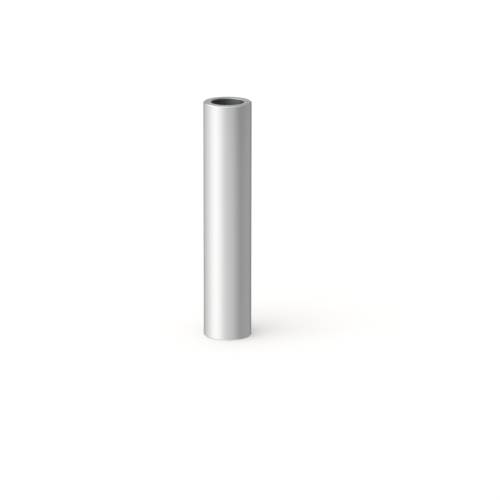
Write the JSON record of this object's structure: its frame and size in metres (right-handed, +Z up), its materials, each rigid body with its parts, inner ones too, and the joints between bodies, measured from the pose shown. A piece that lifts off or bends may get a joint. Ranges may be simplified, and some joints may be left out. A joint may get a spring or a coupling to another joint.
{
  "type": "splice connector",
  "caption": "Plain straight butt splice sleeve: a thick-walled aluminium tube, open right through, with chamfered ends, pressed onto two stranded conductors.",
  "frame": {"origin": "centre of the lower end face, on the surface that the sleeve stands on", "axes": "+Z up along the bore axis, towards the other end; X and Y are free, because the sleeve is round"},
  "size_m": [0.025, 0.025, 0.125],
  "materials": {
    "aluminium": "satin drawn tube, end faces cut and deburred"
  },
  "bodies": {
    "root": {"sleeve": "aluminium"}
  },
  "joints": []
}
